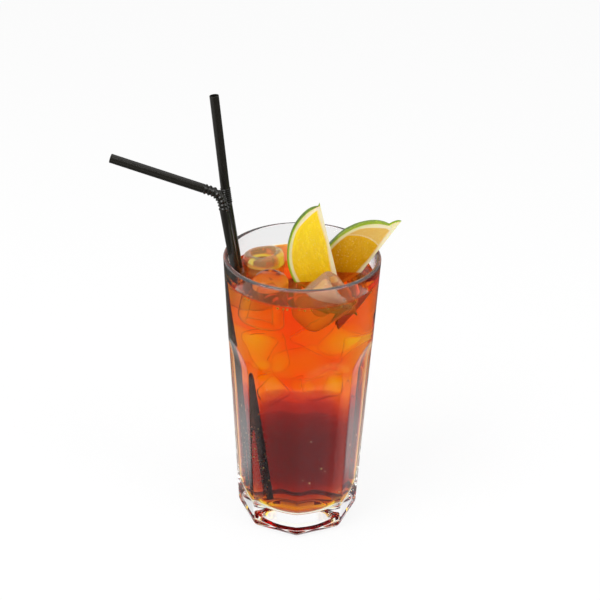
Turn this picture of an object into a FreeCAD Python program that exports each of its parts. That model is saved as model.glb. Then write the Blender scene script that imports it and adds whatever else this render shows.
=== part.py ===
import FreeCAD, Part
import math
import os

# Iced tea in a tall panelled tumbler, with two bendy straws, two lime wedges
# and three hollow ice cubes that stand out of the drink.
# Millimetres. The origin is the centre of the foot, on the table; +Z is up.
# The -Y side is the front: one edge between two panels faces it.

# ---- glass ----
GLASS_HEIGHT = 165.0
RIM_RADIUS = 43.0          # outside of the body at the rim
FOOT_RADIUS = 34.5         # outside corner of the body, carried down to the table
LIP_RADIUS = 1.25          # full round on top of the wall
HEEL_RADIUS = 5.0          # round between the body and the foot
PANEL_COUNT = 8
PANEL_TOP = 103.5          # where two neighbouring arches part from their edge
ARCH_RISE = 15.0           # from there up to the top of an arch
EDGE_WIDTH = 1.0           # soft strip left between two panels
BASE_THICKNESS = 12.0
FLOOR_CORNER = 9.0         # round between the inside floor and the wall
CAVITY_FOOT_RADIUS = 28.6  # inside wall carried down to the floor
WAIST_WALL = 5.4           # wall behind a panel edge at PANEL_TOP
GROOVE_RADIUS = 23.0       # ring groove under the foot
GROOVE_DEPTH = 0.8

# ---- drink ----
DRINK_BELOW_RIM = 12.0
DRINK_GAP = 0.1            # drink to glass

# ---- straws ----
STRAW_RADIUS = 2.5
STRAW_WALL = 0.35
STRAW_SHAFT = 180.6        # foot to bellows
STRAW_TIP = 52.0           # bellows to mouth end
RIB_COUNT = 8
RIB_CREST = 0.35           # above the tube
RIB_VALLEY = 0.40          # below the tube
REST_GAP = 0.15             # between things that lean on each other
# foot: where it stands on the floor; rest: angle round the rim, from +X;
# pitch: ribs pulled apart or pushed together; lead_in, lead_out: straight ends of the bellows
BENT_STRAW = {"foot": (-12.6, -3.0), "rest": 182.0, "arm": (-0.957, 0.135, 0.257),
              "pitch": 2.25, "lead_in": 3.6, "lead_out": 4.0}
STRAIGHT_STRAW = {"foot": (-14.4, 8.0), "rest": 168.0, "arm": (-0.105, 0.0, 0.994),
                  "pitch": 1.15, "lead_in": 1.2, "lead_out": 1.2}

# ---- lime wedges ----
LIME_FULLNESS = 1.85       # 2 is an ellipse
LIME_POINT_WIDTH = 1.1     # radius of a pointed end over its length
WEDGE_ANGLE = 42.0
WEDGE_TRIM = 0.6           # knife flat along the core
# angles of the core from upright, to the side and back, and of the wedge round its core;
# radius, round, point: the fruit's radius, and the length of its round and of each pointed end
BACK_WEDGE = {"lean_side": 33.0, "lean_back": 0.0, "turn": -1.5, "radius": 23.6, "round": 59.0, "point": 6.2}
BACK_REST_ANGLE = 4.9      # round the rim, from +X, where its core leans on the lip
BACK_REST_SLIDE = 11.2     # from the middle of its core up to the lip
FRONT_WEDGE = {"lean_side": -14.0, "lean_back": 1.1, "turn": 7.0, "radius": 25.0, "round": 60.8, "point": 2.0}
FRONT_FROM_BACK = (-17.3, -10.1, 13.0)   # middle of the front wedge from the back one's

# ---- ice ----
ICE_LENGTH = 27.0
ICE_MOUTH_RADIUS = 11.5
ICE_TAIL_RADIUS = 9.5
ICE_EDGE = 2.0             # melted round on the mouth
ICE_DOME = 5.0             # round on the closed end
ICE_HOLE_RADIUS = 7.0
ICE_HOLE_TAIL_RADIUS = 4.5
ICE_HOLE_DEPTH = 19.0
# angle: round the glass; lean: from upright; heading: way the upper end leans;
# above: upper end over the drink; inset: upper end from the wall; mouth_up: hole at the top
LEFT_BACK_ICE = {"angle": 144.9, "lean": 7.0, "heading": 140.0, "above": 5.5, "inset": 1.9, "mouth_up": True}
LEFT_FRONT_ICE = {"angle": 223.2, "lean": 5.5, "heading": 15.0, "above": 7.6, "inset": 8.0, "mouth_up": False}
RIGHT_ICE = {"angle": 312.8, "lean": 48.0, "heading": 355.4, "above": 3.6, "inset": 0.5, "mouth_up": True}

OUT = "parts"


def vec(x, y, z):
    return FreeCAD.Vector(x, y, z)


def unit(v):
    length = math.sqrt(sum(c * c for c in v))
    return tuple(c / length for c in v)


def cross(a, b):
    return (a[1] * b[2] - a[2] * b[1], a[2] * b[0] - a[0] * b[2], a[0] * b[1] - a[1] * b[0])


def along(p, d, t):
    return tuple(p[i] + d[i] * t for i in range(3))


def line(a, b):
    return Part.LineSegment(vec(a[0], 0, a[1]), vec(b[0], 0, b[1])).toShape()


def arc(a, m, b):
    return Part.Arc(vec(a[0], 0, a[1]), vec(m[0], 0, m[1]), vec(b[0], 0, b[1])).toShape()


def revolved(edges, degrees=360.0):
    """A solid from a closed outline in the X-Z plane, turned round Z."""
    face = Part.Face(Part.Wire(edges))
    return face.revolve(vec(0, 0, 0), vec(0, 0, 1), degrees)


def placed(shape, x_axis, z_axis, origin):
    """The shape moved from its own frame to the given axes and origin."""
    y_axis = cross(z_axis, x_axis)
    m = FreeCAD.Matrix()
    m.A11, m.A21, m.A31 = x_axis
    m.A12, m.A22, m.A32 = y_axis
    m.A13, m.A23, m.A33 = z_axis
    m.A14, m.A24, m.A34 = origin
    copy = shape.copy()
    copy.Placement = FreeCAD.Placement(m)
    return copy


# ---------------------------------------------------------------- glass

def body_radius(z):
    """Outside corner radius of the tumbler at a height."""
    return FOOT_RADIUS + (RIM_RADIUS - FOOT_RADIUS) * z / GLASS_HEIGHT


BODY_SLOPE = (RIM_RADIUS - FOOT_RADIUS) / GLASS_HEIGHT
PANEL_HALF_ANGLE = math.pi / PANEL_COUNT - 0.5 * EDGE_WIDTH / body_radius(PANEL_TOP)
PANEL_FACTOR = math.cos(PANEL_HALF_ANGLE)
WAIST_RADIUS = body_radius(PANEL_TOP) - WAIST_WALL
CAVITY_SLOPE = (WAIST_RADIUS - CAVITY_FOOT_RADIUS) / (PANEL_TOP - BASE_THICKNESS)
LIP_HEIGHT = GLASS_HEIGHT - LIP_RADIUS
LIP_MIDDLE = body_radius(LIP_HEIGHT) - LIP_RADIUS
DRINK_LEVEL = GLASS_HEIGHT - DRINK_BELOW_RIM


def floor_round(foot_radius, slope, floor, radius):
    """The round between a floor and a wall: its floor end, middle and wall end."""
    tilt = math.atan(slope)
    centre = (foot_radius + slope * radius - radius / math.cos(tilt), floor + radius)
    wall = (centre[0] + radius * math.cos(tilt), centre[1] - radius * math.sin(tilt))
    half = 0.5 * (-0.5 * math.pi - tilt)
    middle = (centre[0] + radius * math.cos(half), centre[1] + radius * math.sin(half))
    return (centre[0], floor), middle, wall


def swung(start, slope, radius, turn):
    """A point on an arc that leaves start along the slope and bends outward."""
    tilt = math.atan(slope)
    forward = radius * math.sin(turn)
    aside = radius * (1 - math.cos(turn))
    return (start[0] + forward * math.sin(tilt) + aside * math.cos(tilt),
            start[1] + forward * math.cos(tilt) - aside * math.sin(tilt))


def cavity_radius(z):
    """Inside radius of the glass at a height."""
    rise = z - PANEL_TOP
    base = WAIST_RADIUS + CAVITY_SLOPE * rise
    if rise <= 0:
        return base
    span = LIP_HEIGHT - PANEL_TOP
    extra = LIP_MIDDLE - LIP_RADIUS - WAIST_RADIUS - CAVITY_SLOPE * span
    return base + extra * (rise / span) ** 2


def cavity_edges(gap):
    """Inside of the glass from the axis at the floor up to the lip, drawn in by gap."""
    floor = BASE_THICKNESS + gap
    foot = CAVITY_FOOT_RADIUS + CAVITY_SLOPE * gap - gap
    a, b, c = floor_round(foot, CAVITY_SLOPE, floor, FLOOR_CORNER - gap)
    waist = (WAIST_RADIUS - gap, PANEL_TOP)
    lip = (LIP_MIDDLE - LIP_RADIUS - gap, LIP_HEIGHT)
    bow = bow_point(waist, lip)
    return [line((0, floor), a), arc(a, b, c), line(c, waist), arc(waist, bow, lip)]


def bow_point(waist, lip):
    """Middle of the arc that carries the inside wall on smoothly from waist to lip."""
    rise = lip[1] - waist[1]
    extra = (lip[0] - waist[0]) - CAVITY_SLOPE * rise
    return (waist[0] + 0.5 * CAVITY_SLOPE * rise + 0.25 * extra, waist[1] + 0.5 * rise)


def groove_edges():
    """Underside from the edge of the foot to the axis, with its shallow ring groove."""
    half = 1.6
    a = (GROOVE_RADIUS + half, 0)
    b = (GROOVE_RADIUS, GROOVE_DEPTH)
    c = (GROOVE_RADIUS - half, 0)
    return [arc(a, b, c), line(c, (0, 0))], a


def turned_body():
    top_in = (LIP_MIDDLE - LIP_RADIUS, LIP_HEIGHT)
    top_out = (LIP_MIDDLE + LIP_RADIUS, LIP_HEIGHT)
    lip = arc(top_in, (LIP_MIDDLE, GLASS_HEIGHT), top_out)
    a, b, c = floor_round(FOOT_RADIUS, BODY_SLOPE, 0.0, HEEL_RADIUS)
    under, groove_start = groove_edges()
    outside = [line(top_out, c), arc(c, b, a), line(a, groove_start)]
    axis = line((0, 0), (0, BASE_THICKNESS))
    return revolved(cavity_edges(0.0) + [lip] + outside + under + [axis])


def panel_cutter():
    """What is taken off for one panel: flat, round at the heel, run out at the arch."""
    slope = BODY_SLOPE * PANEL_FACTOR
    foot = FOOT_RADIUS * PANEL_FACTOR
    a, b, c = floor_round(foot, slope, 0.0, HEEL_RADIUS)
    top = (body_radius(PANEL_TOP) * PANEL_FACTOR, PANEL_TOP)
    depth = body_radius(PANEL_TOP + ARCH_RISE) - (top[0] + slope * ARCH_RISE)
    run_out = (ARCH_RISE ** 2 + depth ** 2) / (2 * depth)
    turn = math.radians(45)
    mid = swung(top, slope, run_out, 0.5 * turn)
    end = swung(top, slope, run_out, turn)
    far = RIM_RADIUS + 20
    below = (a[0], -2.0)
    edges = [line(below, a), arc(a, b, c), line(c, top), arc(top, mid, end)]
    edges += [line(end, (far, end[1])), line((far, end[1]), (far, -2.0)), line((far, -2.0), below)]
    face = Part.Face(Part.Wire(edges))
    half = RIM_RADIUS
    face.translate(vec(0, -half, 0))
    return face.extrude(vec(0, 2 * half, 0))


def glass():
    body = turned_body()
    step = 360.0 / PANEL_COUNT
    cutter = panel_cutter()
    for k in range(PANEL_COUNT):
        tool = cutter.copy()
        tool.rotate(vec(0, 0, 0), vec(0, 0, 1), (k + 0.5) * step)
        body = body.cut(tool)
    return body


# ---------------------------------------------------------------- straws

def wall_reach(foot_radius, floor, clear):
    """How far out a straight line from the foot may pass the lip without nearing the wall."""
    reach = LIP_MIDDLE - LIP_RADIUS - clear
    for k in range(1, 12):
        height = floor + (LIP_HEIGHT - floor) * k / 12
        room = cavity_radius(height) - clear - foot_radius
        reach = min(reach, foot_radius + room * 12 / k)
    return reach


def shaft_axis(foot, rest_angle):
    """Foot point and direction of a straw that stands on the floor and leans on the lip."""
    a = math.radians(rest_angle)
    clear = STRAW_RADIUS + REST_GAP
    reach = LIP_MIDDLE - LIP_RADIUS - clear
    for _ in range(2):
        rest = (reach * math.cos(a), reach * math.sin(a), LIP_HEIGHT)
        rough = unit((rest[0] - foot[0], rest[1] - foot[1], rest[2] - BASE_THICKNESS))
        reach = LIP_MIDDLE - (clear + LIP_RADIUS) / rough[2]
    outward = foot[0] * math.cos(a) + foot[1] * math.sin(a)
    limit = wall_reach(outward, BASE_THICKNESS, clear / rough[2])
    if limit < reach - REST_GAP:
        rest = (limit * math.cos(a), limit * math.sin(a), LIP_HEIGHT)
    lift = STRAW_RADIUS * math.sqrt(1 - rough[2] ** 2) + REST_GAP
    start = (foot[0], foot[1], BASE_THICKNESS + lift)
    return start, unit(tuple(rest[i] - start[i] for i in range(3)))


def turned(v, axis, angle):
    """v turned round a unit axis."""
    c, s = math.cos(angle), math.sin(angle)
    w = cross(axis, v)
    d = sum(axis[i] * v[i] for i in range(3))
    return tuple(v[i] * c + w[i] * s + axis[i] * d * (1 - c) for i in range(3))


def bellows_path(start, direction, pose):
    """Stations (point, direction) through the ribs, bending from the shaft to the arm."""
    arm = unit(pose["arm"])
    hinge = unit(cross(direction, arm))
    bend = math.acos(sum(direction[i] * arm[i] for i in range(3)))
    length = RIB_COUNT * pose["pitch"]
    curved = length - pose["lead_in"] - pose["lead_out"]
    count = 2 * RIB_COUNT
    step = length / count
    stations = [(start, direction)]
    for k in range(count):
        half_way = bent_share((k + 0.5) * step, pose["lead_in"], curved)
        full_way = bent_share((k + 1) * step, pose["lead_in"], curved)
        point = along(stations[-1][0], turned(direction, hinge, bend * half_way), step)
        stations.append((point, turned(direction, hinge, bend * full_way)))
    return stations


def bent_share(run, lead_in, curved):
    """Share of the whole bend that is made after a run along the bellows."""
    return min(1.0, max(0.0, (run - lead_in) / curved))


def ring(point, direction, radius):
    circle = Part.Circle(vec(*point), vec(*direction), radius)
    return Part.Wire([circle.toShape()])


def straw_skin(start, stations, tip_length, inset):
    """The straw as a filled body, drawn in all round by inset."""
    base = STRAW_RADIUS - inset
    first, heading = stations[0]
    last, arm = stations[-1]
    shaft_length = math.dist(start, first)
    shaft = Part.makeCylinder(base, shaft_length, vec(*start), vec(*heading))
    tip = Part.makeCylinder(base, tip_length, vec(*last), vec(*arm))
    rings = []
    for k, (point, direction) in enumerate(stations):
        radius = base
        if 0 < k < len(stations) - 1:
            radius = base + RIB_CREST if k % 2 else base - RIB_VALLEY
        rings.append(ring(point, direction, radius))
    ribs = Part.makeLoft(rings, True, True)
    return shaft.fuse([ribs, tip])


def straw(pose):
    """A straw and the space it fills."""
    start, heading = shaft_axis(pose["foot"], pose["rest"])
    elbow = along(start, heading, STRAW_SHAFT)
    stations = bellows_path(elbow, heading, pose)
    outer = straw_skin(start, stations, STRAW_TIP, 0.0)
    below = along(start, heading, -1.0)
    inner = straw_skin(below, stations, STRAW_TIP + 1.0, STRAW_WALL)
    return outer.cut(inner), outer


# ---------------------------------------------------------------- lime

def lime_radius(s, pose):
    """Radius of a fruit with pointed ends, at s along its core from the middle."""
    round_half = 0.5 * pose["round"]
    point = pose["point"]
    swell = 1 - (abs(s) / round_half) ** LIME_FULLNESS
    flesh = pose["radius"] * math.sqrt(max(0.0, swell))
    run = min(1.0, (round_half + point - abs(s)) / (2.5 * point))
    end = LIME_POINT_WIDTH * point * math.sqrt(max(0.0, run * (2 - run)))
    return math.sqrt(flesh ** 2 + end ** 2)


def lime_wedge(pose):
    """One wedge in its own frame: core on Z, one cut face towards +X, flesh towards -Y."""
    half = 0.5 * pose["round"] + pose["point"]
    stations = 24
    points = []
    for k in range(stations + 1):
        s = -half * math.cos(math.pi * k / stations)
        points.append(vec(lime_radius(s, pose), 0, s))
    points[0] = vec(0, 0, -half)
    points[-1] = vec(0, 0, half)
    rind = Part.BSplineCurve()
    rind.interpolate(points)
    core = Part.LineSegment(points[-1], points[0]).toShape()
    face = Part.Face(Part.Wire([rind.toShape(), core]))
    wedge = face.revolve(vec(0, 0, 0), vec(0, 0, 1), -WEDGE_ANGLE)
    return wedge.cut(core_knife(half))


def core_knife(half):
    """Block that takes the sharp core edge off a wedge."""
    block = Part.makeBox(20, 20, 2 * half + 4, vec(WEDGE_TRIM - 20, -10, -half - 2))
    block.rotate(vec(0, 0, 0), vec(0, 0, 1), -0.5 * WEDGE_ANGLE)
    return block


def wedge_axes(pose):
    """Core and rind directions of a wedge that leans sideways and back, then turns on its core."""
    side = math.radians(pose["lean_side"])
    back = math.radians(pose["lean_back"])
    core = (math.sin(side) * math.cos(back), math.sin(back), math.cos(side) * math.cos(back))
    front = unit((core[0] * core[1], core[1] ** 2 - 1, core[2] * core[1]))
    rind = cross(front, core)
    if rind[0] > 0:
        rind = tuple(-c for c in rind)
    return core, turned(rind, core, math.radians(pose["turn"]))


def wedge_at(pose, middle):
    core, rind = wedge_axes(pose)
    return placed(lime_wedge(pose), rind, core, middle)


def back_middle():
    """Middle of the back wedge's core, from where it leans on the lip."""
    core, rind = wedge_axes(BACK_WEDGE)
    a = math.radians(BACK_REST_ANGLE)
    clear = LIP_RADIUS + REST_GAP - 0.5 * WEDGE_TRIM
    reach = LIP_MIDDLE - clear / core[2]
    rest = (reach * math.cos(a), reach * math.sin(a), LIP_HEIGHT)
    return along(rest, core, -BACK_REST_SLIDE)


# ---------------------------------------------------------------- ice

def ice_outline():
    """Outside of a cube in its own frame, mouth up at Z = 0."""
    slope = (ICE_MOUTH_RADIUS - ICE_TAIL_RADIUS) / ICE_LENGTH
    a, b, c = floor_round(ICE_TAIL_RADIUS, slope, -ICE_LENGTH, ICE_DOME)
    shoulder = (ICE_MOUTH_RADIUS - slope * ICE_EDGE, -ICE_EDGE)
    flat = (ICE_MOUTH_RADIUS - ICE_EDGE, 0)
    corner = 0.3 * ICE_EDGE
    round_mid = (ICE_MOUTH_RADIUS - corner, -corner)
    return [line((0, -ICE_LENGTH), a), arc(a, b, c), line(c, shoulder), arc(shoulder, round_mid, flat)], flat


def ice_cube():
    """A thimble-shaped cube and the same cube with its hole filled."""
    outside, flat = ice_outline()
    filled = revolved(outside + [line(flat, (0, 0)), line((0, 0), (0, -ICE_LENGTH))])
    slope = (ICE_HOLE_RADIUS - ICE_HOLE_TAIL_RADIUS) / ICE_HOLE_DEPTH
    a, b, c = floor_round(ICE_HOLE_TAIL_RADIUS, slope, -ICE_HOLE_DEPTH, 0.7 * ICE_HOLE_TAIL_RADIUS)
    top = (ICE_HOLE_RADIUS + slope, 1.0)
    hole = revolved([line((0, -ICE_HOLE_DEPTH), a), arc(a, b, c), line(c, top), line(top, (0, 1.0)),
                     line((0, 1.0), (0, -ICE_HOLE_DEPTH))])
    return filled.cut(hole), filled


def ice_reach(pose, out, up, height):
    """How far out the upper end stands, with both ends held off the wall."""
    tilt = math.sqrt(1 - sum(out[i] * up[i] for i in range(3)) ** 2)
    ends = (ICE_MOUTH_RADIUS, ICE_TAIL_RADIUS) if pose["mouth_up"] else (ICE_TAIL_RADIUS, ICE_MOUTH_RADIUS)
    upper = cavity_radius(height) - ends[0] * tilt - pose["inset"]
    sunk = max(BASE_THICKNESS + FLOOR_CORNER, height - ICE_LENGTH * up[2])
    drift = -ICE_LENGTH * sum(out[i] * up[i] for i in range(3))
    lower = cavity_radius(sunk) - ends[1] * tilt - REST_GAP - drift
    return min(upper, lower)


def ice_at(shape, pose):
    """A cube with its upper end held off the wall at its angle round the glass."""
    lean, heading, angle = (math.radians(pose[key]) for key in ("lean", "heading", "angle"))
    up = (math.sin(lean) * math.cos(heading), math.sin(lean) * math.sin(heading), math.cos(lean))
    out = (math.cos(angle), math.sin(angle), 0.0)
    height = DRINK_LEVEL + pose["above"]
    reach = ice_reach(pose, out, up, height)
    top = (reach * out[0], reach * out[1], height)
    mouth = top if pose["mouth_up"] else along(top, up, -ICE_LENGTH)
    axis = up if pose["mouth_up"] else tuple(-c for c in up)
    return placed(shape, unit(cross((0, 1, 0), axis)), axis, mouth)


def clear_pose(shape, pose, neighbour):
    """The pose, moved on round the glass until the cube is clear of its neighbour."""
    pose = dict(pose)
    while ice_at(shape, pose).distToShape(neighbour)[0] < REST_GAP:
        pose["angle"] -= 2.0
    return pose


# ---------------------------------------------------------------- drink

def drink(tools):
    """The drink: the cavity up to the level, less everything that stands in it."""
    edges = cavity_edges(DRINK_GAP)
    lip = (LIP_MIDDLE - LIP_RADIUS - DRINK_GAP, LIP_HEIGHT)
    floor = BASE_THICKNESS + DRINK_GAP
    cavity = revolved(edges + [line(lip, (0, LIP_HEIGHT)), line((0, LIP_HEIGHT), (0, floor))])
    above = Part.makeCylinder(2 * RIM_RADIUS, GLASS_HEIGHT, vec(0, 0, DRINK_LEVEL))
    body = cavity.cut(above)
    for tool in tools:
        body = body.cut(tool)
    return body


def main():
    os.makedirs(OUT, exist_ok=True)
    bent, bent_space = straw(BENT_STRAW)
    straight, straight_space = straw(STRAIGHT_STRAW)
    middle = back_middle()
    back_wedge = wedge_at(BACK_WEDGE, middle)
    front_wedge = wedge_at(FRONT_WEDGE, tuple(middle[i] + FRONT_FROM_BACK[i] for i in range(3)))
    cube, filled_cube = ice_cube()
    left_back = ice_at(cube, LEFT_BACK_ICE)
    right = ice_at(cube, clear_pose(cube, RIGHT_ICE, front_wedge))
    left_front = ice_at(cube, clear_pose(cube, LEFT_FRONT_ICE, right))
    tools = [bent_space, straight_space, front_wedge, back_wedge,
             ice_at(filled_cube, LEFT_BACK_ICE), left_front, right]
    nodes = {
        "glass": glass(),
        "drink": drink(tools),
        "straw_bent": bent,
        "straw_straight": straight,
        "lime_wedge_front": front_wedge,
        "lime_wedge_back": back_wedge,
        "ice_left_back": left_back,
        "ice_left_front": left_front,
        "ice_right": right,
    }
    for name, shape in nodes.items():
        shape.exportStep(os.path.join(OUT, name + ".step"))
        print(name, len(shape.Solids), shape.isValid(), round(shape.Volume, 1))


main()
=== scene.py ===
import math
import random

import bpy
from mathutils import Matrix, Vector, noise


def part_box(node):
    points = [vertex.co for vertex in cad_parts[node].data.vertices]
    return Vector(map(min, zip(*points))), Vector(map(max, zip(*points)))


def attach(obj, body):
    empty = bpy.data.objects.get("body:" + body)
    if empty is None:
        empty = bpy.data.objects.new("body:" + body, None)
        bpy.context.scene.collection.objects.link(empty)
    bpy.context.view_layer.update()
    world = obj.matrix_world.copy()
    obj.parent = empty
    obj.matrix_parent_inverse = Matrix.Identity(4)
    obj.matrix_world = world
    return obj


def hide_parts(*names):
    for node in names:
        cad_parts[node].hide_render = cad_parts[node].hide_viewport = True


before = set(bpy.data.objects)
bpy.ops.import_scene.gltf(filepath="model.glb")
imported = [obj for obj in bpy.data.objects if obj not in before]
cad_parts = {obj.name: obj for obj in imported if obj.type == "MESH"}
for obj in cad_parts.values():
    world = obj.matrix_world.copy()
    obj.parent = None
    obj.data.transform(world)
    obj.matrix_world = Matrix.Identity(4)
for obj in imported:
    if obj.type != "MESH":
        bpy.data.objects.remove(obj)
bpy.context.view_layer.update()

# Iced tea in a tall panelled tumbler. Metres, in the frame of the CAD model:
# the origin is the centre of the foot, +Z is up and -Y is the front.

MM = 0.001
ROOT = "root"

# ---- tumbler ----
GLASS_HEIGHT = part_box("glass")[1].z
RIM_RADIUS = 43.0 * MM
FOOT_RADIUS = 34.5 * MM
LIP_RADIUS = 1.25 * MM
HEEL_RADIUS = 5.0 * MM
PANEL_COUNT = 8
PANEL_TOP = 103.5 * MM
ARCH_RISE = 15.0 * MM
EDGE_WIDTH = 1.0 * MM
EDGE_SOFTNESS = 0.30 * MM
BASE_THICKNESS = 12.0 * MM
FLOOR_CORNER = 9.0 * MM
CAVITY_FOOT_RADIUS = 28.6 * MM
WAIST_WALL = 5.4 * MM
GROOVE_RADIUS = 23.0 * MM
GROOVE_HALF = 1.6 * MM
GROOVE_DEPTH = 0.8 * MM
HALF_PANEL_STEPS = 14

# ---- how strongly clear things bend light ----
GLASS_IOR = 1.5
TEA_IOR = 1.345
ICE_IOR = 1.31
SUNK_ICE_IOR = 0.985        # against the drink round it
NO_BEND = 1.0               # colour alone, for what lies inside the drink

# ---- ice ----
ICE_NODES = ("ice_left_back", "ice_left_front", "ice_right")
ICE_SKIN_PITCH = 0.6 * MM
ICE_DENT = 0.45 * MM
ICE_DENT_SIZE = 9 * MM
CUBE_LENGTH = 26.0 * MM
CUBE_MOUTH = 11.5 * MM
CUBE_TAIL = 9.5 * MM
CUBE_EDGE = 4.0 * MM
CUBE_DOME = 5.5 * MM
CUBE_DENT = 1.3 * MM
# where the middle of each sunk cube is, in mm, which way it points, and its size against a whole one
SUNK_ICE = [
    ((-15, -16, 117.5), (-0.36, 0.15, 0.92), 0.90),
    ((17, -10, 121), (0.62, -0.20, 0.76), 0.74),
    ((23, 7, 107), (0.15, 0.35, 0.92), 0.74),
    ((9, 22, 111), (-0.70, 0.10, 0.70), 0.78),
    ((-17, 15, 107), (0.30, 0.30, 0.90), 0.74),
    ((0, 1, 105), (0.85, -0.30, 0.42), 0.76),
    ((-13, -18, 92), (0.75, 0.10, 0.64), 0.68),
    ((10, -18, 97), (0.90, -0.12, 0.42), 0.84),
    ((15, 9, 85), (0.30, 0.65, 0.70), 0.70),
    ((-9, 16, 84), (-0.60, 0.10, 0.79), 0.74),
]

# ---- drink ----
DRINK_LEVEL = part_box("drink")[1].z
INTO_WALL = 0.10 * MM       # how far the drink and the ice reach into what they touch
MENISCUS = 0.9 * MM
MENISCUS_WIDTH = 2.6 * MM
RED_TEA_GAP = 0.35 * MM     # from the wall to the drink's red inside
RED_TEA_DROP = 0.8 * MM
GLOW_LAYER_TOP = 0.12 * MM        # upper and lower face of the painted glow layer, below the level
GLOW_LAYER_BOTTOM = 0.55 * MM
GLOW_LAYER_GAP = 0.3 * MM
COLA_LAYERS = 3
COLA_TOP = 74 * MM
COLA_STEP = 7 * MM
COLA_DOME = 9 * MM
COLA_GAP = 2.2 * MM
COLA_GAP_STEP = 0.2 * MM
BUBBLE_SEED = 5
STRAW_BUBBLES = 34
WALL_BUBBLES = 36
SURFACE_BUBBLES = 26

# ---- straws ----
STRAW_RADIUS = 2.5 * MM
STRAW_WALL = 0.35 * MM
STRAW_SHAFT = 180.6 * MM
STRAW_TIP = 52.0 * MM
RIB_COUNT = 8
RIB_CREST = 0.35 * MM
RIB_VALLEY = 0.40 * MM
STRAW_SIDES = 32
STRAW_COLLAR = 0.4 * MM     # plain tube kept right beside the ribs
RIB_STATIONS = 6
REST_GAP = 0.15 * MM
BENT_STRAW = {"foot": (-12.6, -3.0), "rest": 182.0, "arm": (-0.957, 0.135, 0.257),
              "pitch": 2.25, "lead_in": 3.6, "lead_out": 4.0}
STRAIGHT_STRAW = {"foot": (-14.4, 8.0), "rest": 168.0, "arm": (-0.105, 0.0, 0.994),
                  "pitch": 1.15, "lead_in": 1.2, "lead_out": 1.2}

# ---- lime ----
LIME_FULLNESS = 1.85
LIME_POINT_WIDTH = 1.1
WEDGE_ANGLE = math.radians(42.0)
WEDGE_TRIM = 0.6 * MM
BACK_WEDGE = {"lean_side": 33.0, "lean_back": 0.0, "turn": -1.5, "radius": 23.6, "round": 59.0, "point": 6.2,
              "lobe": True, "seed": 11}
BACK_REST_ANGLE = 4.9
BACK_REST_SLIDE = 11.2 * MM
FRONT_WEDGE = {"lean_side": -14.0, "lean_back": 1.1, "turn": 7.0, "radius": 25.0, "round": 60.8, "point": 2.0,
               "lobe": False, "seed": 3}
FRONT_FROM_BACK = Vector((-17.3, -10.1, 13.0)) * MM
ZEST = 0.9 * MM             # green skin seen on a cut edge
PITH = 1.7 * MM
CORE_STRIP = 1.7 * MM
SAC_LENGTH = 3.4 * MM
SAC_HEIGHT = 0.26 * MM
PULP_SINK = 0.16 * MM
PULP_GRAIN = 0.08 * MM
PULP_CAP = 0.20 * MM
PORE_DEPTH = 0.20 * MM
RIND_SWELL = 0.30 * MM
RIND_SINK = 0.10 * MM
WEDGE_ROWS, WEDGE_COLUMNS, WEDGE_TURNS = 190, 66, 34

# ---- camera ----
LENS = 86.943
LOOK_DOWN = math.radians(27.7697)
ROLL = math.radians(1.1745)
AIM = Vector((-0.77, 0.0, 137.051)) * MM
CAMERA_REACH = 0.8


# ---------------------------------------------------------------- helpers

def deselect_all():
    for obj in bpy.context.selected_objects:
        obj.select_set(False)
    bpy.context.view_layer.objects.active = None


def make_active(obj):
    deselect_all()
    obj.select_set(True)
    bpy.context.view_layer.objects.active = obj


def apply_modifiers(obj):
    make_active(obj)
    for modifier in list(obj.modifiers):
        bpy.ops.object.modifier_apply(modifier=modifier.name)


def smooth(obj, angle=180.0):
    make_active(obj)
    if angle >= 180.0:
        bpy.ops.object.shade_smooth()
    else:
        bpy.ops.object.shade_smooth_by_angle(angle=math.radians(angle))


def clean(obj, merge=1e-6):
    """Doubles merged and faces turned outwards."""
    make_active(obj)
    bpy.ops.object.mode_set(mode="EDIT")
    bpy.ops.mesh.select_all(action="SELECT")
    bpy.ops.mesh.remove_doubles(threshold=merge)
    bpy.ops.mesh.normals_make_consistent(inside=False)
    bpy.ops.object.mode_set(mode="OBJECT")


def lathe(name, profile, steps):
    """A closed solid from an outline of (radius, height) points that starts and ends on the axis."""
    deselect_all()
    first = profile[0]
    bpy.ops.mesh.primitive_plane_add(size=1e-3, location=(0, 0, 0))
    obj = bpy.context.object
    obj.name = name
    bpy.ops.object.mode_set(mode="EDIT")
    bpy.ops.mesh.select_all(action="SELECT")
    bpy.ops.mesh.merge(type="CENTER")
    bpy.ops.transform.translate(value=(first[0], 0, first[1]))
    last = first
    for point in profile[1:]:
        step = (point[0] - last[0], 0, point[1] - last[1])
        bpy.ops.mesh.extrude_region_move(TRANSFORM_OT_translate={"value": step})
        last = point
    bpy.ops.mesh.select_all(action="SELECT")
    bpy.ops.mesh.spin(steps=steps, angle=2 * math.pi, center=(0, 0, 0), axis=(0, 0, 1))
    bpy.ops.mesh.select_all(action="SELECT")
    bpy.ops.mesh.remove_doubles(threshold=1e-6)
    bpy.ops.mesh.normals_make_consistent(inside=False)
    bpy.ops.object.mode_set(mode="OBJECT")
    return obj


def arc_points(centre, radius, start, end, count):
    """Points on an arc, angles in degrees from the radial direction towards up."""
    out = []
    for k in range(count + 1):
        a = math.radians(start + (end - start) * k / count)
        out.append((centre[0] + radius * math.cos(a), centre[1] + radius * math.sin(a)))
    return out


def spread(a, b, count):
    """Points from a to b, without a."""
    return [(a[0] + (b[0] - a[0]) * k / count, a[1] + (b[1] - a[1]) * k / count) for k in range(1, count + 1)]


def eased(x, low, high):
    t = min(1.0, max(0.0, (x - low) / (high - low)))
    return t * t * (3 - 2 * t)


def settle(obj, node=None):
    """The piece rides on the object, and stands for its CAD node where it has one."""
    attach(obj, ROOT)
    if node:
        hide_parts(node)


def finish_in(obj, mat):
    """The piece wears this one material."""
    obj.data.materials.clear()
    obj.data.materials.append(mat)


# ---------------------------------------------------------------- tumbler

BODY_SLOPE = (RIM_RADIUS - FOOT_RADIUS) / GLASS_HEIGHT


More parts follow.
